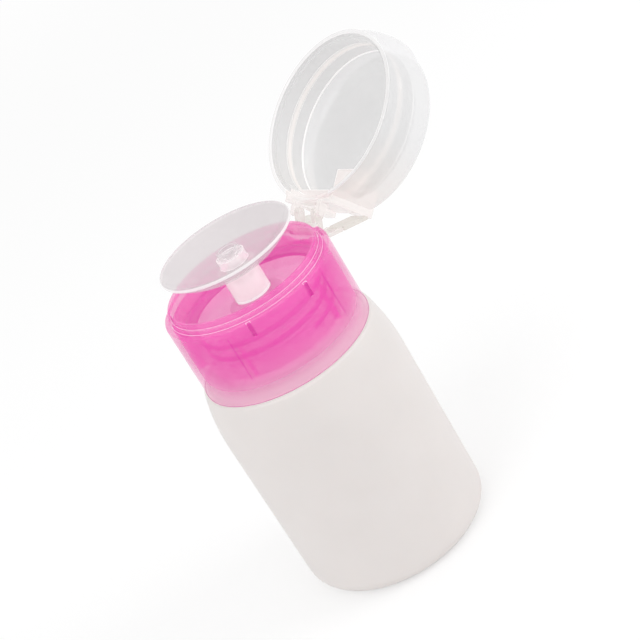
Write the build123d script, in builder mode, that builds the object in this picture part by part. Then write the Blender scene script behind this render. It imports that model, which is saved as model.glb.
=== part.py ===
from build123d import *
import os
from math import asin, atan2, cos, degrees, hypot, radians, sin, sqrt

# Push-down pump bottle for nail polish remover, with a hinged flip lid that stands open.
# Lengths are in millimetres and angles in degrees, +Z is up.
# The origin is the middle of the bottle's foot, and the lid's hinge is on the +Y side.

# Bottle
bottle_radius = 22.5
bottle_wall = 1.1
foot_radius = 4.0
foot_ring_width = 2.5
base_recess = 0.8
side_height = 42.0
side_curve_radius = 45.0
shoulder_rise = 13.0
shoulder_round = 1.0
neck_radius = 14.2
neck_wall = 1.4
neck_height = 11.6
neck_root_round = 0.5
bead_overhang = 1.0
bead_rise = 2.2
bead_height = 1.2

# Screw collar: an outer wall, a threaded inner skirt and a bowl in the top
collar_gap = 0.1
collar_wall = 1.2
collar_draft = 0.2
collar_edge_round = 0.4
lip_height = 0.6
lip_proud = 0.12
thread_clearance = 0.7
skirt_wall = 1.4
skirt_bead_gap = 0.7
skirt_flare = 1.0
wall_gap = 2.3
ledge_width = 1.4
ledge_thickness = 1.25
ledge_rise = 3.15
step_height = 0.95
step_round = 0.2
step_width = 0.55
rim_width = 0.75
rim_height = 2.25
rim_round = 0.25
bowl_draft = 1.3
deck_thickness = 1.4
rib_thickness = 0.8
rib_rise = 1.2
rib_angles = (73.5, 146.5)
notch_width = 0.9
notch_depth = 0.45
notch_length = 3.35
notch_angles = (88.0, 130.2)

# Pump
gasket_thickness = 1.0
gasket_lap = 2.8
flange_thickness = 0.9
flange_gap = 0.1
flange_overhang = 0.2
barrel_radius = 7.6
barrel_wall = 1.2
barrel_depth = 30.5
barrel_floor_thickness = 1.2
barrel_taper = 3.0
inlet_ball_radius = 2.0
inlet_ball_gap = 0.4
inlet_chamber_height = 5.0
inlet_seat_radius = 1.2
inlet_seat_angle = 45.0
tube_radius = 2.5
tube_wall = 0.8
tube_socket_wall = 1.1
tube_socket_length = 6.0
tube_foot_gap = 2.0
spring_clearance = 1.3
spring_wire_radius = 0.4
spring_wire_sides = 8
spring_turns = 6
spring_gap = 0.15
retainer_height = 3.8
retainer_drop = 4.2
retainer_cup_depth = 1.6
retainer_cup_wall = 0.9
stem_radius = 2.6
stem_wall = 1.1
stem_running_gap = 0.08
piston_height = 14.0
piston_length = 4.2
piston_waist = 1.2
piston_lip_length = 1.1
piston_running_gap = 0.08
outlet_ball_radius = 1.2
outlet_ball_gap = 0.3
outlet_seat_radius = 0.75
outlet_land = 1.5
valve_gap = 0.02

# Press dish and its nozzle insert
stem_rise = 6.9
dish_floor_rise = 1.1
dish_depth = 4.2
dish_side_gap = 1.52
dish_rim_radius = 0.45
dish_wall = 0.85
boss_wall = 0.65
boss_height = 2.0
skirt_clearance = 0.7
stem_skirt_wall = 0.85
stem_skirt_foot_gap = 0.1
stem_skirt_gap = 0.3
socket_depth = 2.9
insert_inset = 0.6
insert_height = 1.3
insert_spigot_length = 0.4
insert_wall = 0.75
insert_dimple_depth = 0.9
insert_orifice_radius = 0.35
insert_edge_round = 0.2
flute_count = 6
flute_radius = 0.3
flute_height = 0.55

# Flip lid, in its own frame: depth runs from the rim, and the hinge is on +y
lid_inset = 0.1
lid_step_gap = 0.35
lid_rim_gap = 0.25
lid_seat_gap = 0.1
lid_rebate_depth = 1.2
lid_rim_round = 0.2
lid_top_wall = 1.5
lid_corner_radius = 2.2
lid_crease_drop = 3.25
lid_floor_inset = 4.7
lid_bead_proud = 0.3
lid_bead_start = 4.25
lid_bead_height = 1.5
thumb_reach = 2.0
thumb_half_angle = 48.0
thumb_start = 0.6
thumb_bend_depth = 3.6
thumb_bend_reach = 1.15
thumb_full_depth = 8.0
thumb_flat = 1.6
thumb_end_drop = 0.4
thumb_end_inset = 1.3
block_side_gap = 0.62
inner_block_half_width = 7.2
inner_block_start = 3.2
shelf_gap = 0.4
shelf_thickness = 2.3
shelf_reach = 1.6
tongue_half_width = 3.9
tongue_reach = 5.3
rear_pad_half_width = 8.0
rear_pad_proud = 0.05
rear_pad_start = 0.8
rear_pad_end_drop = 0.6
rear_recess_half_width = 4.7
rear_recess_depth = 1.2
rear_recess_start = 3.6
open_angle = 144.0

# Hinge: ears on the collar's base piece, lugs with studs on the lid, straps at both sides
hinge_offset = 2.06
hinge_rise = 1.65
hinge_barrel_radius = 0.95
stud_radius = 0.42
stud_gap = 0.06
ear_inner = 2.2
ear_width = 1.4
lug_gap = 0.3
lug_width = 1.1
lug_root_depth = 0.8
lug_root_start = 0.45
lug_root_end = 2.75
base_half_width = 4.6
base_inner = 18.6
base_outer = 20.0
base_height = 2.2
base_top_gap = 0.05
base_seat_gap = 0.05
seat_depth = 1.7
seat_drop = 1.2
seat_side = 2.2
ear_foot_outer = 20.9
ear_shoulder_drop = 0.3
rail_inner = 18.75
rail_outer = 19.6
rail_height = 1.0
rod_offset = 0.8
rod_drop = 2.1
rod_radius = 0.3
rod_gap = 0.06
web_radius = 0.55
web_width = 0.6
wing_length = 3.9
wing_wall_gap = 0.08
wing_knuckle_gap = 0.45
strap_lug_gap = 0.3
strap_width = 4.9
strap_thickness = 0.9
strap_web_gap = 0.4
knuckle_radius = 0.6
knuckle_side_gap = 0.25
strap_anchor_offset = 0.8
strap_anchor_height = 9.85

overrun = 1.0
overlap = 0.2

# Heights and radii that follow from the sizes above
bottle_bore = bottle_radius - bottle_wall
bottle_floor = bottle_wall + base_recess
shoulder_height = side_height + shoulder_rise
neck_top = shoulder_height + neck_height
neck_bore = neck_radius - neck_wall
bead_top = shoulder_height + bead_rise + bead_height
gasket_top = neck_top + gasket_thickness
flange_top = gasket_top + flange_thickness
deck_bottom = flange_top + flange_gap
deck_top = deck_bottom + deck_thickness
collar_foot = shoulder_height + collar_gap
ledge_top = deck_top + ledge_rise
rim_top = ledge_top + rim_height
skirt_radius = neck_radius + thread_clearance
skirt_outer = skirt_radius + skirt_wall
skirt_foot = bead_top + skirt_bead_gap
gap_top = ledge_top - ledge_thickness
step_top = ledge_top + step_height
collar_top_radius = skirt_outer + wall_gap + collar_wall
collar_foot_radius = collar_top_radius + collar_draft
step_radius = collar_top_radius - ledge_width
rim_radius = step_radius - step_width
bowl_rim_radius = rim_radius - rim_width
bowl_floor_radius = bowl_rim_radius - bowl_draft
barrel_bore_radius = barrel_radius - barrel_wall
barrel_floor = flange_top - barrel_depth
spring_radius = stem_radius + spring_clearance
piston_bottom = barrel_floor + piston_height
stem_top = deck_top + stem_rise
stem_skirt_bore = stem_radius + skirt_clearance
stem_skirt_radius = stem_skirt_bore + stem_skirt_wall
deck_hole_radius = stem_skirt_radius + stem_skirt_gap
dish_floor = stem_top + dish_floor_rise
dish_rim_height = dish_floor + dish_depth
dish_radius = bowl_rim_radius - dish_side_gap
boss_radius = stem_radius + boss_wall
boss_top = dish_floor + boss_height
lid_radius = collar_top_radius - lid_inset
lid_bore = rim_radius + lid_rim_gap
lid_rebate_radius = step_radius + lid_step_gap
lid_bead_radius = lid_bore - lid_bead_proud
lid_rim = ledge_top + lid_seat_gap
shelf_start = dish_rim_height + dish_rim_radius + shelf_gap - lid_rim
lid_floor = shelf_start + shelf_thickness
lid_depth = lid_floor + lid_top_wall
inner_block_front = dish_radius + block_side_gap
shelf_front = inner_block_front - shelf_reach
tongue_front = shelf_front - tongue_reach
thumb_root_width = lid_radius * (1 - cos(radians(thumb_half_angle)))
thumb_centre = thumb_reach * (2 * lid_radius + thumb_reach) / (2 * (thumb_root_width + thumb_reach))
hinge_y = lid_radius + hinge_offset
hinge_z = ledge_top + hinge_rise
rod_y = lid_radius + rod_offset
rod_z = ledge_top - rod_drop
base_foot = ledge_top - base_top_gap - base_height
lug_inner = ear_inner + ear_width + lug_gap
strap_inner = lug_inner + lug_width + strap_lug_gap
strap_outer = strap_inner + strap_width
rail_half_width = strap_inner + web_width
turn = radians(open_angle)


def opened(y, z):
    """A point of the shut lid, in the plane of the hinge, where the opened lid carries it."""
    across_hinge = y - hinge_y
    above_hinge = z - hinge_z
    return (
        hinge_y + across_hinge * cos(turn) + above_hinge * sin(turn),
        hinge_z - across_hinge * sin(turn) + above_hinge * cos(turn),
    )


lid_centre = opened(0, lid_rim)
lid_frame = Plane(origin=(0, *lid_centre), x_dir=(1, 0, 0), z_dir=(0, sin(turn), cos(turn)))
lid_hinge = (hinge_y, hinge_z - lid_rim)
strap_end = opened(lid_radius + strap_anchor_offset, ledge_top + strap_anchor_height)
strap_length = hypot(strap_end[0] - rod_y, strap_end[1] - rod_z)
strap_angle = atan2(strap_end[1] - rod_z, strap_end[0] - rod_y)
strap_frame = Plane(origin=(0, rod_y, rod_z), x_dir=(1, 0, 0), z_dir=(0, -sin(strap_angle), cos(strap_angle)))


def side_plane(frame, x):
    """The plane across a frame at x, with the frame's y and z as its own x and y."""
    origin = frame.from_local_coords(Vector(x, 0, 0))
    return Plane(origin=origin, x_dir=frame.y_dir, z_dir=frame.x_dir)


def turning_plane(frame, y):
    """The plane of a turned outline whose axis stands at y in the frame."""
    origin = frame.from_local_coords(Vector(0, y, 0))
    return Plane(origin=origin, x_dir=frame.x_dir, z_dir=-frame.y_dir)


def turning_axis(frame, y):
    return Axis(frame.from_local_coords(Vector(0, y, 0)), frame.z_dir)


def nearest(shapes, *point):
    return shapes.sort_by_distance(Vector(*point))[0]


def box(frame, x_range, y_range, z_range, mode=Mode.ADD):
    """A block between the given sides, in the frame's own directions."""
    width = x_range[1] - x_range[0]
    centre_y = (y_range[0] + y_range[1]) / 2
    centre_z = (z_range[0] + z_range[1]) / 2
    with BuildSketch(side_plane(frame, x_range[0])) as side_view:
        with Locations((centre_y, centre_z)):
            Rectangle(y_range[1] - y_range[0], z_range[1] - z_range[0])
    extrude(side_view.sketch, amount=width, mode=mode)


def both_ways(half_width):
    return (-half_width, half_width)


def finish(builder, name):
    builder.part.label = name
    export_step(builder.part, f"parts/{name}.step")
    print(f"{name:20s} {builder.part.volume:10.2f} mm3")


os.makedirs("parts", exist_ok=True)
profile = Plane.XZ


# Bottle, with a shallow recess under its foot and a bead round the neck
with BuildPart() as bottle:
    with BuildSketch(profile) as outline:
        with BuildLine():
            ring_radius = bottle_radius - foot_radius - foot_ring_width
            recess = ThreePointArc((0, base_recess), (ring_radius / 2, base_recess * 3 / 4), (ring_radius, 0))
            Line(recess @ 1, (bottle_radius - foot_radius, 0))
            foot = CenterArc((bottle_radius - foot_radius, foot_radius), foot_radius, -90, 90)
            side = Line(foot @ 1, (bottle_radius, side_height))
            shoulder_centre = (bottle_radius - side_curve_radius, side_height)
            shoulder_angle = degrees(asin(shoulder_rise / side_curve_radius))
            shoulder = CenterArc(shoulder_centre, side_curve_radius, 0, shoulder_angle)
            Polyline(
                shoulder @ 1,
                (neck_radius, shoulder_height),
                (neck_radius, neck_top),
                (0, neck_top),
                (0, base_recess),
            )
        make_face()
        shoulder_edge = (shoulder @ 1).X
        fillet(nearest(outline.vertices(), shoulder_edge, shoulder_height), shoulder_round)
        fillet(nearest(outline.vertices(), neck_radius, shoulder_height), neck_root_round)
    revolve(axis=Axis.Z)
    with BuildSketch(Plane.XY.offset(shoulder_height + bead_rise)):
        Circle(neck_radius + bead_overhang)
        Circle(neck_radius - overlap, mode=Mode.SUBTRACT)
    extrude(amount=bead_height)
    with BuildSketch(profile):
        with BuildLine():
            inner_foot = foot_radius - bottle_wall
            inner_side = side_curve_radius - bottle_wall
            Line((0, bottle_floor), (bottle_bore - inner_foot, bottle_floor))
            heel_centre = (bottle_bore - inner_foot, bottle_floor + inner_foot)
            heel = CenterArc(heel_centre, inner_foot, -90, 90)
            Line(heel @ 1, (bottle_bore, side_height))
            inner_angle = degrees(asin((shoulder_rise - bottle_wall) / inner_side))
            inner_shoulder = CenterArc(shoulder_centre, inner_side, 0, inner_angle)
            Polyline(
                inner_shoulder @ 1,
                (neck_bore, shoulder_height - bottle_wall),
                (neck_bore, neck_top + overrun),
                (0, neck_top + overrun),
                (0, bottle_floor),
            )
        make_face()
    revolve(axis=Axis.Z, mode=Mode.SUBTRACT)
finish(bottle, "bottle")


# Screw collar: one turned outline with an annular gap between its outer wall and the threaded skirt
with BuildPart() as collar:
    with BuildSketch(profile) as outline:
        gap_outer = collar_foot_radius - collar_wall
        with BuildLine():
            Polyline(
                (gap_outer, collar_foot),
                (collar_foot_radius + lip_proud, collar_foot),
                (collar_foot_radius + lip_proud, collar_foot + lip_height),
                (collar_foot_radius, collar_foot + lip_height),
                (collar_top_radius, ledge_top),
                (step_radius, ledge_top),
                (step_radius, step_top),
                (rim_radius, step_top),
                (rim_radius, rim_top),
                (bowl_rim_radius, rim_top),
                (bowl_floor_radius, deck_top),
                (deck_hole_radius, deck_top),
                (deck_hole_radius, deck_bottom),
                (skirt_radius, deck_bottom),
                (skirt_radius, skirt_foot),
                (skirt_outer, skirt_foot),
                (skirt_outer, deck_bottom),
                (skirt_outer + skirt_flare, gap_top),
                (collar_top_radius - collar_wall, gap_top),
                close=True,
            )
        make_face()
        fillet(nearest(outline.vertices(), collar_top_radius, ledge_top), collar_edge_round)
        fillet(nearest(outline.vertices(), step_radius, step_top), step_round)
        for edge_radius in (rim_radius, bowl_rim_radius):
            fillet(nearest(outline.vertices(), edge_radius, rim_top), rim_round)
    revolve(axis=Axis.Z)
    rib_foot = skirt_foot + rib_rise
    rib_inner = skirt_outer - overlap
    rib_outer = collar_top_radius - collar_wall + overlap
    with BuildSketch(Plane.XY.offset(rib_foot)):
        for rib_angle in rib_angles:
            for side_sign in (-1, 1):
                with PolarLocations((rib_inner + rib_outer) / 2, 1, start_angle=90 + side_sign * rib_angle):
                    Rectangle(rib_outer - rib_inner, rib_thickness)
    extrude(amount=gap_top + overlap - rib_foot)
    seat_foot = base_foot - seat_drop
    with BuildSketch(Plane.XY.offset(seat_foot)):
        with Locations((0, base_inner - seat_depth)):
            Rectangle(2 * (base_half_width + seat_side), gap_outer, align=(Align.CENTER, Align.MIN))
        Circle(gap_outer + overlap, mode=Mode.INTERSECT)
    extrude(amount=gap_top + overlap - seat_foot)
    with BuildSketch(Plane.XY.offset(ledge_top - notch_length)):
        for notch_angle in notch_angles:
            for side_sign in (-1, 1):
                with PolarLocations(collar_top_radius, 1, start_angle=90 + side_sign * notch_angle):
                    Rectangle(2 * notch_depth, notch_width)
    extrude(amount=notch_length + overrun, mode=Mode.SUBTRACT)
    box(
        Plane.XY,
        both_ways(base_half_width + base_seat_gap),
        (base_inner - base_seat_gap, collar_foot_radius + overrun),
        (base_foot - base_seat_gap, ledge_top + overrun),
        mode=Mode.SUBTRACT,
    )
    box(
        Plane.XY,
        both_ways(rail_half_width + base_seat_gap),
        (rail_inner - base_seat_gap, collar_foot_radius + overrun),
        (base_foot - base_seat_gap, base_foot + rail_height + base_seat_gap),
        mode=Mode.SUBTRACT,
    )
finish(collar, "collar")


# Hinge base: a block in the collar's notch, two ears for the lid and a wing with a rod at each side
with BuildPart() as hinge_base:
    half_strap = strap_thickness / 2
    for wing_start in (-strap_outer, strap_inner):
        box(strap_frame, (wing_start, wing_start + strap_width), (-wing_length, 0), both_ways(half_strap))
    for knuckle_start in (-strap_outer + web_width, strap_inner + web_width):
        with BuildSketch(side_plane(strap_frame, knuckle_start)):
            Circle(knuckle_radius + wing_knuckle_gap)
        extrude(amount=strap_width - 2 * web_width, mode=Mode.SUBTRACT)
    with BuildSketch(Plane.XY.offset(rod_z - strap_thickness)):
        Circle(collar_top_radius + wing_wall_gap)
    extrude(amount=rod_drop + strap_thickness, mode=Mode.SUBTRACT)
    for web_start in (-strap_outer, -strap_inner - web_width, strap_inner, strap_outer - web_width):
        with BuildSketch(side_plane(strap_frame, web_start)):
            Circle(web_radius)
        extrude(amount=web_width)
    for rod_start in (-strap_outer, strap_inner):
        with BuildSketch(side_plane(strap_frame, rod_start)):
            Circle(rod_radius)
        extrude(amount=strap_width)
    box(Plane.XY, both_ways(base_half_width), (base_inner, base_outer), (base_foot, ledge_top - base_top_gap))
    box(Plane.XY, both_ways(rail_half_width), (rail_inner, rail_outer), (base_foot, base_foot + rail_height))
    for ear_start in (-ear_inner - ear_width, ear_inner):
        with BuildSketch(side_plane(Plane.XY, ear_start)):
            with BuildLine():
                CenterArc((hinge_y, hinge_z), hinge_barrel_radius, 0, 360)
                Polyline(
                    (lid_radius, base_foot),
                    (ear_foot_outer, base_foot),
                    (lid_radius, ledge_top - ear_shoulder_drop),
                    close=True,
                )
            make_hull()
        extrude(amount=ear_width)
    with BuildSketch(side_plane(Plane.XY, -ear_inner - ear_width - overrun)):
        with Locations((hinge_y, hinge_z)):
            Circle(stud_radius + stud_gap)
    extrude(amount=2 * (ear_inner + ear_width + overrun), mode=Mode.SUBTRACT)
finish(hinge_base, "hinge_base")


# Hinge straps: two flat bands, each with a narrower knuckle round its rod
def make_strap(name, start):
    plate_start = web_radius + strap_web_gap
    knuckle_inset = web_width + knuckle_side_gap
    with BuildPart() as strap:
        box(strap_frame, (start, start + strap_width), (plate_start, strap_length), both_ways(half_strap))
        with BuildSketch(side_plane(strap_frame, start)):
            with Locations((strap_length, 0)):
                Circle(half_strap)
        extrude(amount=strap_width)
        with BuildSketch(side_plane(strap_frame, start + knuckle_inset)):
            Circle(knuckle_radius)
            with Locations((plate_start / 2, 0)):
                Rectangle(plate_start + overlap, strap_thickness)
            Circle(rod_radius + rod_gap, mode=Mode.SUBTRACT)
        extrude(amount=strap_width - 2 * knuckle_inset)
    finish(strap, name)
    return strap


strap_right = make_strap("strap_right", strap_inner)
strap_left = make_strap("strap_left", -strap_outer)


# Flip lid, made in its own frame and standing open
with BuildPart() as flip_lid:
    with BuildSketch(turning_plane(lid_frame, 0)) as outline:
        with BuildLine():
            corner_centre = (lid_radius - lid_corner_radius, lid_depth - lid_corner_radius)
            corner = CenterArc(corner_centre, lid_corner_radius, 0, 90)
            Polyline(corner @ 1, (0, lid_depth), (0, 0), (lid_radius, 0), corner @ 0)
        make_face()
        fillet(nearest(outline.vertices(), lid_radius, 0), lid_rim_round)
    revolve(axis=turning_axis(lid_frame, 0))
    with BuildSketch(turning_plane(lid_frame, -thumb_centre)):
        thumb_root = lid_radius - thumb_centre
        thumb_edge = thumb_root + thumb_reach
        thumb_end = lid_depth - thumb_end_drop
        with BuildLine():
            rise = ThreePointArc(
                (thumb_root, thumb_start),
                (thumb_root + thumb_bend_reach, thumb_bend_depth),
                (thumb_edge, thumb_full_depth),
            )
            flat = Line(rise @ 1, (thumb_edge, thumb_full_depth + thumb_flat))
            fall = TangentArc(flat @ 1, (thumb_root - thumb_end_inset, thumb_end), tangent=(0, 1))
            Polyline(fall @ 1, (0, thumb_end), (0, thumb_start), rise @ 0)
        make_face()
    revolve(axis=turning_axis(lid_frame, -thumb_centre))
    box(
        lid_frame,
        both_ways(rear_pad_half_width),
        (0, lid_radius + rear_pad_proud),
        (rear_pad_start, lid_depth - rear_pad_end_drop),
    )
    with BuildSketch(turning_plane(lid_frame, 0)):
        crease = (lid_bore, lid_floor - lid_crease_drop)
        bead_end = lid_bead_start + lid_bead_height
        bead_crest = (lid_bead_radius, lid_bead_start + lid_bead_height / 2)
        with BuildLine():
            inner_corner = TangentArc((lid_bore - lid_floor_inset, lid_floor), crease, tangent=(1, 0))
            Line(inner_corner @ 1, (lid_bore, bead_end))
            ThreePointArc((lid_bore, bead_end), bead_crest, (lid_bore, lid_bead_start))
            Polyline(
                (lid_bore, lid_bead_start),
                (lid_bore, lid_rebate_depth),
                (lid_rebate_radius, lid_rebate_depth),
                (lid_rebate_radius, lid_rim_round),
                (lid_rebate_radius + lid_rim_round, 0),
                (lid_rebate_radius + lid_rim_round, -overrun),
                (0, -overrun),
                (0, lid_floor),
                inner_corner @ 0,
            )
        make_face()
    revolve(axis=turning_axis(lid_frame, 0), mode=Mode.SUBTRACT)
    wall_middle = (lid_bore + lid_radius) / 2
    lid_embed = lid_floor + overlap
    for half_width, front, start in (
        (inner_block_half_width, inner_block_front, inner_block_start),
        (inner_block_half_width, shelf_front, shelf_start),
        (tongue_half_width, tongue_front, shelf_start),
    ):
        box(lid_frame, both_ways(half_width), (front, wall_middle), (start, lid_embed))
    box(
        lid_frame,
        both_ways(rear_recess_half_width),
        (lid_radius - rear_recess_depth, lid_radius + overrun),
        (rear_recess_start, lid_depth + overrun),
        mode=Mode.SUBTRACT,
    )
    for lug_start in (-lug_inner - lug_width, lug_inner):
        with BuildSketch(side_plane(lid_frame, lug_start)):
            with BuildLine():
                CenterArc(lid_hinge, hinge_barrel_radius, 0, 360)
                Polyline(
                    (lid_radius - lug_root_depth, lug_root_start),
                    (lid_radius, lug_root_start),
                    (lid_radius, lug_root_end),
                    (lid_radius - lug_root_depth, lug_root_end),
                    close=True,
                )
            make_hull()
        extrude(amount=lug_width)
    stud_length = lug_gap + ear_width - overlap
    for stud_start in (-lug_inner, lug_inner - stud_length):
        with BuildSketch(side_plane(lid_frame, stud_start)):
            with Locations(lid_hinge):
                Circle(stud_radius)
        extrude(amount=stud_length)
finish(flip_lid, "flip_lid")


# Gasket between the neck and the pump's flange
with BuildPart() as neck_gasket:
    with BuildSketch(Plane.XY.offset(neck_top)):
        Circle(neck_radius)
        Circle(neck_bore - gasket_lap, mode=Mode.SUBTRACT)
    extrude(amount=gasket_thickness)
finish(neck_gasket, "neck_gasket")


# Pump cylinder: flange, barrel, a chamber with a conical seat for the inlet ball, and a tube socket
chamber_radius = inlet_ball_radius + inlet_ball_gap
chamber_bottom = barrel_floor - inlet_chamber_height
inlet_half = radians(inlet_seat_angle)
seat_height = (chamber_radius - inlet_seat_radius) * cos(inlet_half) / sin(inlet_half)
socket_top = chamber_bottom - seat_height - barrel_floor_thickness
socket_bottom = socket_top - tube_socket_length
socket_radius = tube_radius + tube_socket_wall
with BuildPart() as pump_cylinder:
    with BuildSketch(profile):
        with BuildLine():
            Polyline(
                (barrel_bore_radius, flange_top),
                (neck_radius + flange_overhang, flange_top),
                (neck_radius + flange_overhang, gasket_top),
                (barrel_radius, gasket_top),
                (barrel_radius, barrel_floor),
                (barrel_radius - barrel_taper, barrel_floor - barrel_taper),
                (socket_radius, socket_top),
                (socket_radius, socket_bottom),
                (tube_radius, socket_bottom),
                (tube_radius, socket_top),
                (inlet_seat_radius, socket_top),
                (inlet_seat_radius, chamber_bottom - seat_height),
                (chamber_radius, chamber_bottom),
                (chamber_radius, barrel_floor),
                (barrel_bore_radius, barrel_floor),
                close=True,
            )
        make_face()
    revolve(axis=Axis.Z)
finish(pump_cylinder, "pump_cylinder")


# Dip tube, pushed into the socket and cut off just above the bottle's floor
tube_bottom = bottle_floor + tube_foot_gap
with BuildPart() as dip_tube:
    with BuildSketch(Plane.XY.offset(tube_bottom)):
        Circle(tube_radius)
        Circle(tube_radius - tube_wall, mode=Mode.SUBTRACT)
    extrude(amount=socket_top - tube_bottom)
finish(dip_tube, "dip_tube")


# Retainer ring that guides the stem near the top of the barrel, hollowed on its underside
retainer_foot = flange_top - retainer_drop - retainer_height
with BuildPart() as cylinder_retainer:
    with BuildSketch(Plane.XY.offset(retainer_foot)):
        Circle(barrel_bore_radius)
        Circle(stem_radius + stem_running_gap, mode=Mode.SUBTRACT)
    extrude(amount=retainer_height)
    with BuildSketch(Plane.XY.offset(retainer_foot)):
        Circle(barrel_bore_radius - retainer_cup_wall)
        Circle(stem_radius + stem_running_gap + retainer_cup_wall, mode=Mode.SUBTRACT)
    extrude(amount=retainer_cup_depth, mode=Mode.SUBTRACT)
finish(cylinder_retainer, "cylinder_retainer")


# Valve balls, each resting on the edge or cone of its seat
inlet_ball_height = chamber_bottom - chamber_radius * cos(inlet_half) / sin(inlet_half) + (
    inlet_ball_radius + valve_gap
) / sin(inlet_half)
with BuildPart() as inlet_ball:
    with BuildSketch(profile):
        with BuildLine():
            CenterArc((0, inlet_ball_height), inlet_ball_radius, -90, 180)
            Line((0, inlet_ball_height + inlet_ball_radius), (0, inlet_ball_height - inlet_ball_radius))
        make_face()
    revolve(axis=Axis.Z)
finish(inlet_ball, "inlet_ball")

outlet_rise = sqrt((outlet_ball_radius + valve_gap) ** 2 - outlet_seat_radius**2)
outlet_ball_height = stem_top + outlet_rise
with BuildPart() as outlet_ball:
    with BuildSketch(profile):
        with BuildLine():
            CenterArc((0, outlet_ball_height), outlet_ball_radius, -90, 180)
            Line((0, outlet_ball_height + outlet_ball_radius), (0, outlet_ball_height - outlet_ball_radius))
        make_face()
    revolve(axis=Axis.Z)
finish(outlet_ball, "outlet_ball")


# Return spring: one unbroken coil between the barrel's floor and the piston
spring_bottom = barrel_floor + spring_gap + spring_wire_radius
spring_top = piston_bottom - spring_gap - spring_wire_radius
spring_pitch = (spring_top - spring_bottom) / spring_turns
with BuildPart() as return_spring:
    with BuildLine() as coil:
        Helix(
            pitch=spring_pitch,
            height=spring_top - spring_bottom,
            radius=spring_radius,
            center=(0, 0, spring_bottom),
        )
    with BuildSketch(Plane(origin=coil.line @ 0, z_dir=coil.line % 0)):
        RegularPolygon(spring_wire_radius, spring_wire_sides)
    sweep(is_frenet=True)
finish(return_spring, "return_spring")
print("spring's least gap between turns", round(spring_pitch - 2 * spring_wire_radius, 2))


# Piston with a lip at each end, pressed on the foot of the stem
with BuildPart() as piston:
    with BuildSketch(profile):
        with BuildLine():
            piston_radius = barrel_bore_radius - piston_running_gap
            waist_radius = piston_radius - piston_waist
            piston_top = piston_bottom + piston_length
            Polyline(
                (stem_radius, piston_bottom),
                (piston_radius, piston_bottom),
                (piston_radius, piston_bottom + piston_lip_length),
                (waist_radius, piston_bottom + 2 * piston_lip_length),
                (waist_radius, piston_top - piston_lip_length),
                (piston_radius, piston_top - piston_lip_length),
                (piston_radius, piston_top),
                (stem_radius, piston_top),
                close=True,
            )
        make_face()
    revolve(axis=Axis.Z)
finish(piston, "piston")


# Hollow stem with the outlet seat at its top
with BuildPart() as piston_stem:
    with BuildSketch(profile):
        with BuildLine():
            stem_bore_radius = stem_radius - stem_wall
            bore_end = stem_top - outlet_land
            Polyline(
                (stem_bore_radius, piston_bottom),
                (stem_radius, piston_bottom),
                (stem_radius, stem_top),
                (outlet_seat_radius, stem_top),
                (outlet_seat_radius, bore_end),
                (stem_bore_radius, bore_end),
                close=True,
            )
        make_face()
    revolve(axis=Axis.Z)
finish(piston_stem, "piston_stem")


# Press dish: a saucer with a bead at its rim, a boss in its middle and a skirt round the stem
spigot_bottom = boss_top - insert_spigot_length
outlet_chamber_radius = outlet_ball_radius + outlet_ball_gap
with BuildPart() as press_dish:
    with BuildSketch(profile) as outline:
        rim_centre = (dish_radius - dish_rim_radius, dish_rim_height)
        run = rim_centre[0] - boss_radius
        climb = dish_rim_height - dish_floor + dish_wall / 2
        saucer_radius = (run**2 + climb**2) / (2 * climb)
        saucer_angle = degrees(asin(run / saucer_radius))
        saucer_centre = (boss_radius, dish_rim_height - climb + saucer_radius)
        underside_radius = saucer_radius + dish_wall / 2
        with BuildLine():
            inside = CenterArc(saucer_centre, saucer_radius - dish_wall / 2, -90, saucer_angle)
            underside_angle = degrees(asin((stem_skirt_radius - boss_radius) / underside_radius))
            underside = CenterArc(
                saucer_centre, underside_radius, -90 + underside_angle, saucer_angle - underside_angle
            )
            Polyline(
                inside @ 0,
                (boss_radius, boss_top),
                (outlet_chamber_radius, boss_top),
                (outlet_chamber_radius, stem_top),
                (stem_radius, stem_top),
                (stem_radius, stem_top - socket_depth),
                (stem_skirt_bore, stem_top - socket_depth),
                (stem_skirt_bore, deck_top - stem_skirt_foot_gap),
                (stem_skirt_radius, deck_top - stem_skirt_foot_gap),
                underside @ 0,
            )
            Line(inside @ 1, underside @ 1)
        make_face()
        with Locations(rim_centre):
            Circle(dish_rim_radius)
    revolve(axis=Axis.Z)
finish(press_dish, "press_dish")


# Nozzle insert: a fluted plug with a dimple and an orifice, pressed into the boss
with BuildPart() as nozzle_insert:
    insert_top = boss_top + insert_height
    insert_radius = boss_radius - insert_inset
    with BuildSketch(Plane.XY.offset(boss_top)):
        Circle(insert_radius)
        with PolarLocations(insert_radius, flute_count):
            Circle(flute_radius)
    extrude(amount=flute_height)
    with BuildSketch(Plane.XY.offset(boss_top)):
        Circle(insert_radius)
    extrude(amount=insert_height)
    fillet(nozzle_insert.edges().group_by(Axis.Z)[-1], insert_edge_round)
    with BuildSketch(Plane.XY.offset(spigot_bottom)):
        Circle(outlet_chamber_radius)
    extrude(amount=insert_spigot_length)
    with BuildSketch(Plane.XY.offset(insert_top - insert_dimple_depth)):
        Circle(insert_radius - insert_wall)
    extrude(amount=insert_dimple_depth + overrun, mode=Mode.SUBTRACT)
    with BuildSketch(Plane.XY.offset(spigot_bottom - overrun)):
        Circle(insert_orifice_radius)
    extrude(amount=insert_height + 2 * overrun, mode=Mode.SUBTRACT)
finish(nozzle_insert, "nozzle_insert")
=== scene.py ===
import math

import bmesh
import bpy
from mathutils import Matrix, Vector

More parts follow.
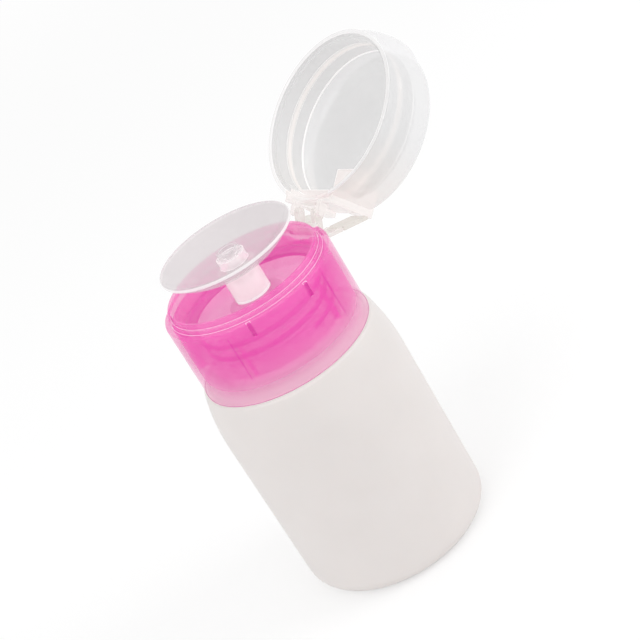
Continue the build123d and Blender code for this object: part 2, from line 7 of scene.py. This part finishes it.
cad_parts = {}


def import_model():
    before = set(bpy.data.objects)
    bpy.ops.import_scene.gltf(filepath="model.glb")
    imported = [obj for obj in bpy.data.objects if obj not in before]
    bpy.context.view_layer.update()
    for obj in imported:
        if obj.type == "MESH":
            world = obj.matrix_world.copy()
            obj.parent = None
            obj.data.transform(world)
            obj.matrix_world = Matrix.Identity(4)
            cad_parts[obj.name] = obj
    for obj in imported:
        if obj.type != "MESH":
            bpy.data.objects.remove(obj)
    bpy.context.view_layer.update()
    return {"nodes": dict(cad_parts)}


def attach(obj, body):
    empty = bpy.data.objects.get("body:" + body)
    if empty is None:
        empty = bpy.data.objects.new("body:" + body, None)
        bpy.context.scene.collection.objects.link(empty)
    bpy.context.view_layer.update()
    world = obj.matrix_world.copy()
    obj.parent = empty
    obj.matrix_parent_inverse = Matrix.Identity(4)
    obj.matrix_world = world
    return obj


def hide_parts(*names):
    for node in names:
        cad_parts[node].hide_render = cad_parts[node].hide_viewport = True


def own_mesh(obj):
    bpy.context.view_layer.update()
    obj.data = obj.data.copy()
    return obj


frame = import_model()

# A push-down nail polish remover pump with its flip lid open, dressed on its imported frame.
# Everything is in metres, in the frame of the bottle's foot, with the lid's hinge on +Y.

MM = 0.001
nodes = frame["nodes"]

# Camera, at the photograph's viewing angle and tilt
CAMERA_PLACE = Vector((262.88, -139.77, 199.54)) * MM
CAMERA_AIM = Vector((4.28, 8.05, 55.93)) * MM
CAMERA_ROLL = -0.542
CAMERA_LENS = 85.88
CAMERA_SENSOR = 36.0
CAMERA_NEAR = 0.01

# Threads on the bottle's neck and inside the collar's skirt
THREAD_PITCH = 3.0 * MM
THREAD_ROOT_WIDTH = 1.2 * MM
THREAD_CREST_WIDTH = 0.5 * MM
THREAD_EMBED = 0.1 * MM
THREAD_STEPS = 96
THREAD_TAPER = 0.12
NECK_RADIUS = 14.2 * MM
NECK_CREST = 14.72 * MM
NECK_THREAD_START = 60.2 * MM
NECK_THREAD_TURNS = 1.6
SKIRT_RADIUS = 14.9 * MM
SKIRT_CREST = 14.38 * MM
SKIRT_THREAD_START = 60.0 * MM
SKIRT_THREAD_TURNS = 2.4

# Moulded plastic: its clouds, the smears in its gloss, its grain, and how deep light goes into it
# with the shares of that depth for red, green and blue
CLOUD_SCALE = 90.0
CLOUD_DETAIL = 3.0
CLOUD_DARK = 0.3
CLOUD_LIGHT = 0.7
SMEAR_SCALE = 54.0
SMEAR_DETAIL = 2.0
GLOSS_SPREAD = 0.15
GRAIN_SCALE = 2600.0
GRAIN_DETAIL = 2.0
GRAIN_DEPTH = 0.02 * MM
PLASTIC_IOR = 1.49
GLOW_DEPTH = 2.0 * MM
GLOW_SHARES = (1.0, 0.9, 0.85)

# Shadow and diffuse rays meet only this share of a plastic's cloudiness
LIGHT_SHARE = 0.06
METAL_SHADE = 0.9
METAL_GRAIN = 0.05

# How alike the rounded normal and the surface's own are at a full edge, and where no edge shows
EDGE_SAMPLES = 6
EDGE_SHARP = 0.88
EDGE_FLAT = 0.985

ORIGIN = (0.0, 0.0, 0.0)
ACROSS = (1.0, 0.0, 0.0)
UP = (0.0, 0.0, 1.0)

# The lid as it stands open: the middle of its rim, its depth and the side of its hinge
LID_TURN = math.radians(144.0)
LID_CENTRE = tuple(c * MM for c in (0.0, 38.453, 88.844))
LID_DEPTH = (0.0, math.sin(LID_TURN), math.cos(LID_TURN))
LID_HINGE_SIDE = (0.0, math.cos(LID_TURN), -math.sin(LID_TURN))
LID_AXIS = (LID_CENTRE, LID_DEPTH)
LID_HINGEWARD = (LID_CENTRE, LID_HINGE_SIDE)

# The lines in front of the collar's ribs: degrees about the bottle's axis from +X, and millimetres
RIB_ANGLES = (16.5, 163.5, 236.5, 303.5)
RIB_LINE_RADIUS = 19.5
RIB_LINE_LOW = 61.0
RIB_LINE_HIGH = 71.4
RIB_LINE_HALF_WIDTH = 0.2

# Stage: the floor's glow grows from FLOOR_GLOW near the object to the white of the sky far away
WHITE_LIGHT = (1.0, 1.0, 1.0, 1.0)
FLOOR_COLOUR = (0.97, 0.97, 0.97, 1.0)
FLOOR_REACH = 20.0
FLOOR_GLOW = 0.5
FLOOR_NEAR = 0.2
FLOOR_FAR = 1.1
SKY_LEVEL = 0.86
LAMP_AIM = (0.0, 0.0, 0.06)
LAMP_SIZE = 0.5
KEY_PLACE = (0.15, -0.55, 0.6)
KEY_ENERGY = 1.2
FILL_PLACE = (0.5, 0.6, 0.45)
FILL_ENERGY = 1.8
SEE_THROUGH_BOUNCES = 32
SEEN_RAYS = ("Is Camera Ray", "Is Glossy Ray", "Is Transmission Ray")


def tree_of(block):
    block.use_nodes = True
    tree = block.node_tree
    tree.nodes.clear()
    return tree


def set_inputs(node, **values):
    for key, value in values.items():
        node.inputs[key.replace("_", " ")].default_value = value


def ray_mask(tree, *rays):
    """One where the ray is of one of these kinds, and nought elsewhere."""
    path = tree.nodes.new("ShaderNodeLightPath")
    mask = path.outputs[rays[0]]
    for ray in rays[1:]:
        joined = tree.nodes.new("ShaderNodeMath")
        joined.operation = "MAXIMUM"
        tree.links.new(mask, joined.inputs[0])
        tree.links.new(path.outputs[ray], joined.inputs[1])
        mask = joined.outputs["Value"]
    return mask


def noise(tree, scale, detail):
    place = tree.nodes.new("ShaderNodeTexCoord")
    texture = tree.nodes.new("ShaderNodeTexNoise")
    set_inputs(texture, Scale=scale, Detail=detail)
    tree.links.new(place.outputs["Object"], texture.inputs["Vector"])
    return texture


def ranged(tree, value, low, high, first=0.0, last=1.0):
    """A smooth passage from first to last as the value goes from low to high."""
    passage = tree.nodes.new("ShaderNodeMapRange")
    passage.interpolation_type = "SMOOTHSTEP"
    set_inputs(passage, From_Min=low, From_Max=high, To_Min=first, To_Max=last)
    tree.links.new(value, passage.inputs["Value"])
    return passage.outputs["Result"]


def vector_math(tree, operation, first, second=None):
    node = tree.nodes.new("ShaderNodeVectorMath")
    node.operation = operation
    for socket, value in zip(node.inputs, (first, second)):
        if isinstance(value, bpy.types.NodeSocket):
            tree.links.new(value, socket)
        elif value is not None:
            socket.default_value = value
    return node.outputs["Value" if operation in ("LENGTH", "DOT_PRODUCT") else "Vector"]


def depth_along(tree, origin, axis):
    """How far a point of the surface lies along an axis from an origin."""
    place = tree.nodes.new("ShaderNodeTexCoord").outputs["Object"]
    return vector_math(tree, "DOT_PRODUCT", vector_math(tree, "SUBTRACT", place, origin), axis)


def radius_about(tree, origin, axis):
    """How far a point of the surface lies from an axis through an origin."""
    place = tree.nodes.new("ShaderNodeTexCoord").outputs["Object"]
    offset = vector_math(tree, "SUBTRACT", place, origin)
    return vector_math(tree, "LENGTH", vector_math(tree, "CROSS_PRODUCT", offset, axis))


def edge_mask(tree, reach):
    """One along the piece's edges, where a painted highlight is laid on."""
    rounded = tree.nodes.new("ShaderNodeBevel")
    rounded.samples = EDGE_SAMPLES
    set_inputs(rounded, Radius=reach)
    surface = tree.nodes.new("ShaderNodeNewGeometry")
    likeness = vector_math(tree, "DOT_PRODUCT", rounded.outputs["Normal"], surface.outputs["Normal"])
    return ranged(tree, likeness, EDGE_SHARP, EDGE_FLAT, 1.0, 0.0)


def mixed(tree, mask, first, second):
    """First where the mask is nought and second where it is one, for two numbers or two colours."""
    mix = tree.nodes.new("ShaderNodeMix")
    colours = isinstance(second, tuple)
    mix.data_type = "RGBA" if colours else "FLOAT"
    # The node has a pair of inputs and an output for each kind of value
    first_input, output = (6, 2) if colours else (2, 0)
    tree.links.new(mask, mix.inputs[0])
    for socket, value in zip(mix.inputs[first_input : first_input + 2], (first, second)):
        if isinstance(value, bpy.types.NodeSocket):
            tree.links.new(value, socket)
        else:
            socket.default_value = (*value, 1.0) if colours else value
    return mix.outputs[output]


def product(tree, first, second):
    """Two values multiplied, of which the second may be a plain number."""
    node = tree.nodes.new("ShaderNodeMath")
    node.operation = "MULTIPLY"
    tree.links.new(first, node.inputs[0])
    if isinstance(second, bpy.types.NodeSocket):
        tree.links.new(second, node.inputs[1])
    else:
        node.inputs[1].default_value = second
    return node.outputs["Value"]


def plastic(
    name,
    light,
    dark,
    roughness,
    alpha=1.0,
    zones=(),
    edge_highlight=None,
    edge_reach=0.25,
    highlight_zone=None,
    transmission=0.0,
    subsurface=0.0,
    grain=0.02,
):
    """Moulded plastic: a slightly clouded colour, uneven gloss and a fine moulded grain.

    Zones are (mask maker, colour or None, alpha), where a later one covers an earlier one. The edge
    highlight is a painted highlight along the edges, given as (colour, alpha, strength); its reach is
    in millimetres, and it shows only in the highlight zone.
    """
    material = bpy.data.materials.new(name)
    tree = tree_of(material)
    output = tree.nodes.new("ShaderNodeOutputMaterial")
    shader = tree.nodes.new("ShaderNodeBsdfPrincipled")
    tree.links.new(shader.outputs["BSDF"], output.inputs["Surface"])
    clouds = noise(tree, CLOUD_SCALE, CLOUD_DETAIL)
    ramp = tree.nodes.new("ShaderNodeValToRGB")
    ramp.color_ramp.elements[0].position = CLOUD_DARK
    ramp.color_ramp.elements[0].color = (*dark, 1.0)
    ramp.color_ramp.elements[1].position = CLOUD_LIGHT
    ramp.color_ramp.elements[1].color = (*light, 1.0)
    tree.links.new(clouds.outputs["Fac"], ramp.inputs["Fac"])
    colour, cloudiness = ramp.outputs["Color"], alpha
    for mask_maker, zone_colour, zone_alpha in zones:
        mask = mask_maker(tree)
        if zone_colour:
            colour = mixed(tree, mask, colour, zone_colour)
        cloudiness = mixed(tree, mask, cloudiness, zone_alpha)
    # Painted highlight: a lighter colour and more cover where the edge mask is high
    if edge_highlight:
        highlight_colour, highlight_alpha, strength = edge_highlight
        along_edge = edge_mask(tree, edge_reach * MM)
        mask = ranged(tree, along_edge, 0.0, 1.0, 0.0, strength)
        if highlight_zone:
            mask = product(tree, mask, highlight_zone(tree))
        colour = mixed(tree, mask, colour, highlight_colour)
        cloudiness = mixed(tree, mask, cloudiness, highlight_alpha)
    tree.links.new(colour, shader.inputs["Base Color"])
    smears = noise(tree, SMEAR_SCALE, SMEAR_DETAIL)
    gloss = tree.nodes.new("ShaderNodeMapRange")
    set_inputs(gloss, To_Min=roughness * (1 - GLOSS_SPREAD), To_Max=roughness * (1 + GLOSS_SPREAD))
    tree.links.new(smears.outputs["Fac"], gloss.inputs["Value"])
    tree.links.new(gloss.outputs["Result"], shader.inputs["Roughness"])
    speckle = noise(tree, GRAIN_SCALE, GRAIN_DETAIL)
    bump = tree.nodes.new("ShaderNodeBump")
    set_inputs(bump, Strength=grain, Distance=GRAIN_DEPTH)
    tree.links.new(speckle.outputs["Fac"], bump.inputs["Height"])
    tree.links.new(bump.outputs["Normal"], shader.inputs["Normal"])
    set_inputs(
        shader, IOR=PLASTIC_IOR, Transmission_Weight=transmission, Subsurface_Weight=subsurface,
        Subsurface_Radius=GLOW_SHARES, Subsurface_Scale=GLOW_DEPTH,
    )
    if alpha < 1.0:
        light_rays = ray_mask(tree, "Is Shadow Ray", "Is Diffuse Ray")
        held_back = product(tree, ranged(tree, light_rays, 0.0, 1.0, 1.0, LIGHT_SHARE), cloudiness)
        tree.links.new(held_back, shader.inputs["Alpha"])
    return material


def metal(name, colour, roughness):
    material = plastic(name, colour, [c * METAL_SHADE for c in colour], roughness, grain=METAL_GRAIN)
    shader = material.node_tree.nodes["Principled BSDF"]
    shader.inputs["Metallic"].default_value = 1.0
    return material


def dress(name, material):
    """Puts a material on every slot of a CAD node."""
    slots = nodes[name].data.materials
    if not slots:
        slots.append(material)
    for index in range(len(slots)):
        slots[index] = material


def nearer(radius, blur=0.3, origin=ORIGIN, axis=UP):
    """A zone nearer to an axis than a radius, in millimetres."""
    low, high = (radius - blur) * MM, (radius + blur) * MM
    return lambda tree: ranged(tree, radius_about(tree, origin, axis), low, high, 1.0, 0.0)


def before(depth, blur=0.1, origin=ORIGIN, axis=UP):
    """A zone that lies less than a depth along an axis, in millimetres."""
    low, high = (depth - blur) * MM, (depth + blur) * MM
    return lambda tree: ranged(tree, depth_along(tree, origin, axis), low, high, 1.0, 0.0)


def beyond(depth, blur=0.1, origin=ORIGIN, axis=UP):
    """A zone that lies more than a depth along an axis, in millimetres."""
    low, high = (depth - blur) * MM, (depth + blur) * MM
    return lambda tree: ranged(tree, depth_along(tree, origin, axis), low, high)


def farther(radius, blur=0.3, origin=ORIGIN, axis=UP):
    """A zone farther from an axis than a radius, in millimetres."""
    low, high = (radius - blur) * MM, (radius + blur) * MM
    return lambda tree: ranged(tree, radius_about(tree, origin, axis), low, high)


def slab(half_width, blur=0.1, axis=ACROSS):
    """The two sides of a zone round a plane that holds the bottle's axis, in millimetres."""
    return (beyond(-half_width, blur, ORIGIN, axis), before(half_width, blur, ORIGIN, axis))


def both(*zones):
    """Where several zones overlap."""

    def mask(tree):
        total = zones[0](tree)
        for zone in zones[1:]:
            total = product(tree, total, zone(tree))
        return total

    return mask


def rib_line(angle):
    """The fine line along the outside of the collar's wall in front of a rib."""
    outward = (math.cos(angle), math.sin(angle), 0.0)
    sideways = (-outward[1], outward[0], 0.0)
    return both(
        farther(RIB_LINE_RADIUS, 0.2), beyond(RIB_LINE_LOW, 0.8), before(RIB_LINE_HIGH, 0.4),
        beyond(0.0, 0.1, ORIGIN, outward), *slab(RIB_LINE_HALF_WIDTH, 0.12, sideways),
    )


def in_lid(zone, value, blur=0.1):
    """A zone about or along the lid's own axis: a radius from it, or a depth from the rim."""
    return zone(value, blur, *LID_AXIS)


def hingeward(distance, blur=0.1):
    """A zone of the lid that lies more than a distance from its middle towards the hinge."""
    return beyond(distance, blur, *LID_HINGEWARD)


# Zones of the collar in millimetres, by height over the bottle's foot and radius about its axis
COLLAR_LOW = before(58.8, 3.4)
WITHIN_SKIRT = nearer(16.8)
SKIRT = both(WITHIN_SKIRT, before(68.0, 0.3))
SKIRT_LOW = both(WITHIN_SKIRT, before(61.0, 1.8))
COLLAR_TOP = beyond(72.0, 0.4)
# The bowl's inner wall, painted lighter: painted light inside the bowl
BOWL_WALL_PAINTED_LIGHT = both(nearer(17.5), beyond(70.4, 0.3))
FOOT_LIP = both(before(55.25, 0.06), farther(19.95, 0.05))
# The recessed faces of the collar's notches, painted darker: painted shade in the recesses
NOTCH_SHADE = both(farther(19.2, 0.1), nearer(19.7, 0.05), beyond(69.5), before(72.7))
# Where the collar's top edges take their painted highlight
COLLAR_HIGHLIGHT_EDGES = beyond(72.85)

# Zones of the lid in millimetres, where the block is the one inside it that carries its shelf
LID_OUTSIDE = in_lid(farther, 18.9)
LID_BACK_OUTSIDE = both(LID_OUTSIDE, hingeward(9.0, 7.0))
# The inner wall of the lid's bore, painted darker: painted shade inside the lid
LID_BORE_SHADE = both(in_lid(nearer, 18.9), in_lid(farther, 17.5), in_lid(before, 9.0, 0.3))
# A lighter, warm band along the bead inside the lid: a painted highlight
LID_BEAD_HIGHLIGHT = both(in_lid(nearer, 18.3), in_lid(beyond, 4.4, 0.5), in_lid(before, 5.6, 0.5))
# A thin near-white line at the crease inside the lid: a painted highlight
LID_CREASE_HIGHLIGHT = both(
    in_lid(nearer, 18.3), in_lid(farther, 17.6), in_lid(beyond, 8.75, 0.08), in_lid(before, 9.15, 0.08),
)
# A lighter, denser band at the lid's rim: a painted highlight
LID_RIM_HIGHLIGHT = in_lid(before, 0.25)
LID_BLOCK = both(hingeward(13.0, 0.3), *slab(7.4))
LID_TONGUE = both(hingeward(8.8), *slab(4.0))
LID_LUGS = hingeward(19.0, 0.2)
# Where the lid's edges take their painted highlight
LID_HIGHLIGHT_EDGES = both(in_lid(beyond, 1.8, 0.3), before(17.5, 0.5, *LID_HINGEWARD))

# Zones of the press dish in millimetres
DISH_STEM = both(nearer(4.4, 0.1), before(77.2, 0.3))
# A near-white line round the foot of the dish's stem: a painted highlight
DISH_STEM_FOOT_HIGHLIGHT = both(nearer(4.4, 0.1), before(70.4, 0.12))
DISH_BOSS = both(nearer(3.4, 0.1), beyond(78.0, 0.2))
# The dish's rim, painted lighter and denser: a painted highlight
DISH_RIM_HIGHLIGHT = farther(15.38, 0.1)

FROSTED = plastic(
    "frosted_bottle", (0.83, 0.78, 0.76), (0.81, 0.76, 0.74), 0.42, transmission=0.12, subsurface=0.3,
)
PINK = plastic(
    "pink_collar", (0.82, 0.075, 0.425), (0.79, 0.06, 0.395), 0.12, alpha=0.54,
    zones=[
        (COLLAR_LOW, (0.93, 0.27, 0.57), 0.29),
        (WITHIN_SKIRT, None, 0.45),
        (SKIRT, None, 0.3),
        (SKIRT_LOW, (0.92, 0.2, 0.52), 0.12),
        (COLLAR_TOP, (0.87, 0.105, 0.46), 0.47),
        # Painted light on the bowl's inner wall
        (BOWL_WALL_PAINTED_LIGHT, (0.9, 0.16, 0.5), 0.43),
        (FOOT_LIP, (0.6, 0.03, 0.3), 0.6),
        *[(rib_line(math.radians(angle)), (0.64, 0.025, 0.32), 0.7) for angle in RIB_ANGLES],
        # Painted shade in the collar's notches
        (NOTCH_SHADE, (0.62, 0.02, 0.3), 0.75),
    ],
    # Painted highlight along the collar's top edges
    edge_highlight=((1.0, 0.7, 0.87), 0.85, 1.0), edge_reach=0.3, highlight_zone=COLLAR_HIGHLIGHT_EDGES,
)
THREAD = plastic("pink_thread", (0.72, 0.03, 0.34), (0.7, 0.025, 0.32), 0.15, alpha=0.45)
CLEAR = plastic(
    "clear_lid", (0.605, 0.6, 0.6), (0.575, 0.57, 0.57), 0.12, alpha=0.42,
    zones=[
        # Painted light: the lid's outer face is lighter than its inside
        (LID_OUTSIDE, (0.8, 0.795, 0.805), 0.48),
        (LID_BACK_OUTSIDE, (0.87, 0.82, 0.79), 0.5),
        # Painted shade on the lid's inner bore wall
        (LID_BORE_SHADE, (0.55, 0.545, 0.54), 0.5),
        # Painted highlight on the lid's bead
        (LID_BEAD_HIGHLIGHT, (0.85, 0.78, 0.74), 0.52),
        # Painted highlight at the lid's inner crease
        (LID_CREASE_HIGHLIGHT, (0.95, 0.94, 0.93), 0.8),
        # Painted highlight at the lid's rim
        (LID_RIM_HIGHLIGHT, (0.88, 0.87, 0.87), 0.74),
        (LID_BLOCK, (0.9, 0.83, 0.81), 0.62),
        (LID_TONGUE, (0.9, 0.83, 0.81), 0.56),
        (LID_LUGS, (0.86, 0.81, 0.79), 0.55),
    ],
    # Painted highlight along the lid's edges
    edge_highlight=((0.97, 0.96, 0.95), 0.9, 1.0), edge_reach=0.4, highlight_zone=LID_HIGHLIGHT_EDGES,
)
HINGE = plastic(
    "clear_hinge", (0.78, 0.73, 0.7), (0.75, 0.7, 0.67), 0.2, alpha=0.6,
    # Painted highlight along the hinge's edges
    edge_highlight=((0.93, 0.9, 0.88), 0.8, 0.8),
)
STRAP = plastic("clear_strap", (0.74, 0.7, 0.65), (0.7, 0.66, 0.61), 0.3, alpha=0.7)
MILKY = plastic(
    "milky_dish", (0.63, 0.575, 0.59), (0.61, 0.555, 0.57), 0.12, alpha=0.5,
    zones=[
        (DISH_STEM, (0.94, 0.78, 0.82), 0.75),
        # Painted highlight at the foot of the dish's stem
        (DISH_STEM_FOOT_HIGHLIGHT, (1.0, 0.95, 0.97), 0.95),
        (DISH_BOSS, (0.95, 0.86, 0.88), 0.6),
        # Painted highlight at the dish's rim
        (DISH_RIM_HIGHLIGHT, (0.9, 0.87, 0.88), 0.75),
    ],
    # Painted highlight along the dish's edges
    edge_highlight=((0.97, 0.94, 0.95), 0.9, 1.0),
)
INSERT = plastic(
    "clear_insert", (0.68, 0.62, 0.64), (0.65, 0.59, 0.61), 0.1, alpha=0.4,
    # Painted highlight along the insert's edges
    edge_highlight=((0.95, 0.93, 0.94), 0.9, 0.9), edge_reach=0.15,
)
WHITE = plastic("white_pump", (0.97, 0.87, 0.9), (0.95, 0.85, 0.88), 0.3)
GASKET = plastic("soft_gasket", (0.85, 0.84, 0.82), (0.8, 0.79, 0.77), 0.6)
TUBE = plastic("clear_tube", (0.93, 0.93, 0.92), (0.9, 0.9, 0.89), 0.2, alpha=0.5)
STEEL = metal("polished_steel", (0.7, 0.7, 0.72), 0.18)

for node, material in {
    "bottle": FROSTED,
    "collar": PINK,
    "hinge_base": HINGE,
    "flip_lid": CLEAR,
    "strap_left": STRAP,
    "strap_right": STRAP,
    "press_dish": MILKY,
    "nozzle_insert": INSERT,
    "piston_stem": WHITE,
    "piston": WHITE,
    "outlet_ball": STEEL,
    "neck_gasket": GASKET,
    "pump_cylinder": WHITE,
    "cylinder_retainer": WHITE,
    "inlet_ball": STEEL,
    "return_spring": STEEL,
    "dip_tube": TUBE,
}.items():
    dress(node, material)


def thread(name, body, material, root_radius, crest_radius, start, turns):
    """A right-handed screw thread whose section tapers out at both ends."""
    mesh = bmesh.new()
    count = round(THREAD_STEPS * turns)
    reach = crest_radius - root_radius
    embed = -math.copysign(THREAD_EMBED, reach)
    rings = []
    for step in range(count + 1):
        share = step / count
        taper = min(1.0, share / THREAD_TAPER, (1.0 - share) / THREAD_TAPER)
        angle = 2 * math.pi * turns * share
        height = start + THREAD_PITCH * turns * share
        crest = root_radius + reach * math.sin(taper * math.pi / 2)
        section = (
            (root_radius + embed, -THREAD_ROOT_WIDTH / 2),
            (crest, -THREAD_CREST_WIDTH / 2),
            (crest, THREAD_CREST_WIDTH / 2),
            (root_radius + embed, THREAD_ROOT_WIDTH / 2),
        )
        rings.append(
            [mesh.verts.new((r * math.cos(angle), r * math.sin(angle), height + z)) for r, z in section]
        )
    for first, second in zip(rings, rings[1:]):
        for side in range(len(first)):
            after = (side + 1) % len(first)
            mesh.faces.new((first[side], first[after], second[after], second[side]))
    mesh.faces.new(rings[0])
    mesh.faces.new(reversed(rings[-1]))
    bmesh.ops.recalc_face_normals(mesh, faces=mesh.faces)
    data = bpy.data.meshes.new(name)
    mesh.to_mesh(data)
    mesh.free()
    for face in data.polygons:
        face.use_smooth = True
    piece = bpy.data.objects.new(name, data)
    bpy.context.scene.collection.objects.link(piece)
    data.materials.append(material)
    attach(piece, body)


thread(
    "neck_thread", "bottle", FROSTED,
    NECK_RADIUS, NECK_CREST, NECK_THREAD_START, NECK_THREAD_TURNS,
)
thread(
    "skirt_thread", "collar", THREAD,
    SKIRT_RADIUS, SKIRT_CREST, SKIRT_THREAD_START + THREAD_PITCH / 2, SKIRT_THREAD_TURNS,
)


def coil_spring():
    """The return spring as a piece of its own, with a mesh of its own, carried by the pump unit."""
    solid = nodes["return_spring"]
    piece = bpy.data.objects.new("coil_spring", solid.data.copy())
    bpy.context.scene.collection.objects.link(piece)
    piece.matrix_world = solid.matrix_world
    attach(piece, "pump_unit")
    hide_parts("return_spring")
    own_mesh(piece)


coil_spring()


def make_floor():
    data = bpy.data.meshes.new("floor")
    corners = [(x * FLOOR_REACH, y * FLOOR_REACH, 0.0) for x, y in ((-1, -1), (1, -1), (1, 1), (-1, 1))]
    data.from_pydata(corners, [], [(0, 1, 2, 3)])
    floor = bpy.data.objects.new("floor", data)
    bpy.context.scene.collection.objects.link(floor)
    material = bpy.data.materials.new("pale_floor")
    tree = tree_of(material)
    output = tree.nodes.new("ShaderNodeOutputMaterial")
    matt = tree.nodes.new("ShaderNodeBsdfDiffuse")
    set_inputs(matt, Color=FLOOR_COLOUR)
    glow = tree.nodes.new("ShaderNodeEmission")
    set_inputs(glow, Color=WHITE_LIGHT, Strength=1.0)
    mix = tree.nodes.new("ShaderNodeMixShader")
    distance = radius_about(tree, ORIGIN, UP)
    share = ranged(tree, distance, FLOOR_NEAR, FLOOR_FAR, FLOOR_GLOW, 1.0)
    tree.links.new(product(tree, ray_mask(tree, *SEEN_RAYS), share), mix.inputs["Fac"])
    tree.links.new(matt.outputs["BSDF"], mix.inputs[1])
    tree.links.new(glow.outputs["Emission"], mix.inputs[2])
    tree.links.new(mix.outputs["Shader"], output.inputs["Surface"])
    data.materials.append(material)


def make_world():
    world = bpy.data.worlds.new("soft_sky")
    bpy.context.scene.world = world
    tree = tree_of(world)
    output = tree.nodes.new("ShaderNodeOutputWorld")
    light = tree.nodes.new("ShaderNodeBackground")
    set_inputs(light, Color=WHITE_LIGHT, Strength=SKY_LEVEL)
    seen = tree.nodes.new("ShaderNodeBackground")
    set_inputs(seen, Color=WHITE_LIGHT, Strength=1.0)
    mix = tree.nodes.new("ShaderNodeMixShader")
    tree.links.new(ray_mask(tree, *SEEN_RAYS), mix.inputs["Fac"])
    tree.links.new(light.outputs["Background"], mix.inputs[1])
    tree.links.new(seen.outputs["Background"], mix.inputs[2])
    tree.links.new(mix.outputs["Shader"], output.inputs["Surface"])


def make_lamp(name, place, energy):
    data = bpy.data.lights.new(name, "AREA")
    data.shape = "DISK"
    data.size = LAMP_SIZE
    data.energy = energy
    lamp = bpy.data.objects.new(name, data)
    lamp.location = place
    lamp.rotation_mode = "QUATERNION"
    lamp.rotation_quaternion = (Vector(LAMP_AIM) - Vector(place)).to_track_quat("-Z", "Y")
    bpy.context.scene.collection.objects.link(lamp)


def make_camera():
    forward = (CAMERA_AIM - CAMERA_PLACE).normalized()
    right = forward.cross(Vector(UP)).normalized()
    up = right.cross(forward)
    turned_right = right * math.cos(CAMERA_ROLL) + up * math.sin(CAMERA_ROLL)
    turned_up = up * math.cos(CAMERA_ROLL) - right * math.sin(CAMERA_ROLL)
    data = bpy.data.cameras.new("camera")
    data.lens = CAMERA_LENS
    data.sensor_width = CAMERA_SENSOR
    data.clip_start = CAMERA_NEAR
    camera = bpy.data.objects.new("camera", data)
    turn = Matrix((turned_right, turned_up, -forward)).transposed()
    camera.matrix_world = Matrix.LocRotScale(CAMERA_PLACE, turn.to_quaternion(), None)
    bpy.context.scene.collection.objects.link(camera)
    bpy.context.scene.camera = camera


make_floor()
make_world()
make_lamp("key_lamp", KEY_PLACE, KEY_ENERGY)
make_lamp("fill_lamp", FILL_PLACE, FILL_ENERGY)
make_camera()
bpy.context.scene.view_settings.view_transform = "Standard"
bpy.context.scene.cycles.transparent_max_bounces = SEE_THROUGH_BOUNCES
